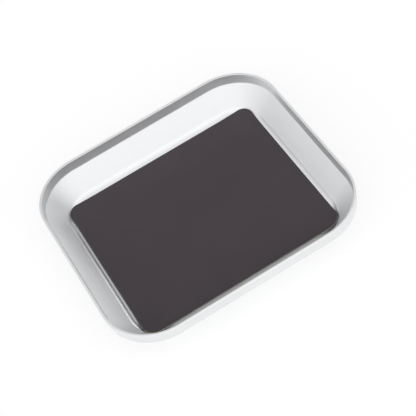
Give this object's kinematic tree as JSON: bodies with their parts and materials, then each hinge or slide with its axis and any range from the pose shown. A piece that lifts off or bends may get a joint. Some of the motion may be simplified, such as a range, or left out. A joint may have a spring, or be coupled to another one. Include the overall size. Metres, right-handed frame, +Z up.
{
  "type": "magnetic parts tray",
  "caption": "Shallow rounded-rectangle metal tray with a flared wall, an upright lip and a dark magnetic mat on its floor, for keeping small steel parts together.",
  "frame": {"origin": "centre of the underside, which rests on Z = 0", "axes": "+X along the long side, +Y along the short side, +Z up out of the tray"},
  "size_m": [0.108, 0.099, 0.0143],
  "materials": {
    "satin_aluminium": "satin, fine-blasted and clear anodised",
    "clear_adhesive": "clear acrylic adhesive film",
    "ferrite_rubber": "plain calendered ferrite rubber",
    "matt_vinyl": "matt, fine grain"
  },
  "bodies": {
    "root": {"tray_pan": "satin_aluminium", "adhesive_film": "clear_adhesive", "magnet_sheet": "ferrite_rubber", "face_film": "matt_vinyl"}
  },
  "joints": []
}
